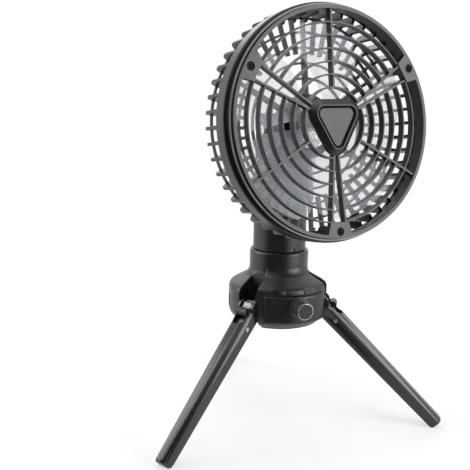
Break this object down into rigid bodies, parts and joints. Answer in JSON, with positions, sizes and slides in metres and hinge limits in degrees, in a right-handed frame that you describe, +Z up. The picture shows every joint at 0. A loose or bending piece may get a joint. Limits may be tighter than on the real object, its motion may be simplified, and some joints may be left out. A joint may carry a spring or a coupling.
{
  "type": "portable camping fan",
  "caption": "Portable battery fan: ribbed round cage on a tilting, swivelling neck, with a speed knob and fold-up spread legs.",
  "frame": {"origin": "on the floor, below the middle of the fan's outline", "axes": "+Z up, -Y the way the fan blows, +X to the right seen from the front"},
  "size_m": [0.2564, 0.2399, 0.3536],
  "materials": {
    "shell_plastic": "satin moulded charcoal",
    "leg_plastic": "satin dark grey",
    "black_plastic": "fine matte",
    "blade_plastic": "clear smoke-grey moulded",
    "lens_plastic": "polished smoke",
    "chrome_trim": "polished",
    "screw_steel": "zinc plated",
    "black_steel": "black oxide",
    "cast_metal": "satin die casting",
    "bush_bronze": "sintered",
    "board_green": "coated circuit board",
    "cell_wrap": "shrink wrap",
    "rotor_copper": "varnished winding"
  },
  "bodies": {
    "hub": {"hub_shell": "shell_plastic", "hub_base": "shell_plastic", "base_screws": "screw_steel", "control_panel": "shell_plastic", "panel_lenses": "lens_plastic", "usb_socket": "screw_steel", "charge_board": "board_green", "control_board": "board_green", "speed_control": "screw_steel", "bracket_screws": "screw_steel", "leg_bracket_1": "cast_metal", "leg_bracket_2": "cast_metal", "leg_bracket_3": "cast_metal", "hinge_pin_1": "screw_steel", "hinge_pin_2": "screw_steel", "hinge_pin_3": "screw_steel"},
    "knob": {"dial_shaft": "screw_steel", "control_knob": "black_plastic", "knob_ring": "chrome_trim", "knob_face": "black_plastic"},
    "neck": {"neck_tube": "shell_plastic", "neck_yoke": "shell_plastic", "neck_retainer": "black_plastic", "retainer_screws": "screw_steel", "neck_screw": "black_steel", "battery_cells": "cell_wrap", "battery_holder": "black_plastic", "tilt_pin": "black_steel", "tilt_washers": "black_plastic"},
    "head": {"motor_housing": "shell_plastic", "housing_screws": "screw_steel", "rear_cage": "shell_plastic", "front_grille": "shell_plastic", "grille_badge": "black_plastic", "grille_screws": "black_steel", "motor_can": "screw_steel", "motor_cap": "black_plastic", "motor_magnets": "black_steel", "motor_bushes": "bush_bronze"},
    "blade": {"motor_shaft": "screw_steel", "motor_rotor": "rotor_copper", "fan_blade": "blade_plastic", "blade_nut": "screw_steel"},
    "leg_one": {"leg_1": "leg_plastic", "leg_rivet_1": "screw_steel", "leg_roller_1": "black_plastic", "leg_plunger_1": "black_plastic"},
    "leg_two": {"leg_2": "leg_plastic", "leg_rivet_2": "screw_steel", "leg_roller_2": "black_plastic", "leg_plunger_2": "black_plastic"},
    "leg_three": {"leg_3": "leg_plastic", "leg_rivet_3": "screw_steel", "leg_roller_3": "black_plastic", "leg_plunger_3": "black_plastic"}
  },
  "joints": [
    {"name": "neck_swivel", "type": "hinge", "parent": "hub", "child": "neck", "pos_m": [0, -0.02628, 0.1512], "axis": [0, 0, 1], "range_deg": [-98, 82]},
    {"name": "head_tilt", "type": "hinge", "parent": "neck", "child": "head", "pos_m": [0, -0.02628, 0.253], "axis": [-0.9898, -0.1426, 0], "range_deg": [-10, 81]},
    {"name": "blade_spin", "type": "hinge", "parent": "head", "child": "blade", "pos_m": [0, -0.02628, 0.253], "axis": [0.1411, -0.9792, 0.1461], "continuous": true},
    {"name": "knob_turn", "type": "hinge", "parent": "hub", "child": "knob", "pos_m": [0, -0.07628, 0.1105], "axis": [0, -1, 0], "range_deg": [0, 270]},
    {"name": "leg_fold_1", "type": "hinge", "parent": "hub", "child": "leg_one", "pos_m": [0.03308, -0.04538, 0.1053], "axis": [-0.5, -0.866, 0], "range_deg": [0, 95]},
    {"name": "leg_fold_2", "type": "hinge", "parent": "hub", "child": "leg_two", "pos_m": [-0.03308, -0.04538, 0.1053], "axis": [-0.5, 0.866, 0], "range_deg": [0, 134]},
    {"name": "leg_fold_3", "type": "hinge", "parent": "hub", "child": "leg_three", "pos_m": [0, 0.01192, 0.1053], "axis": [1, 0, 0], "range_deg": [0, 134]}
  ]
}
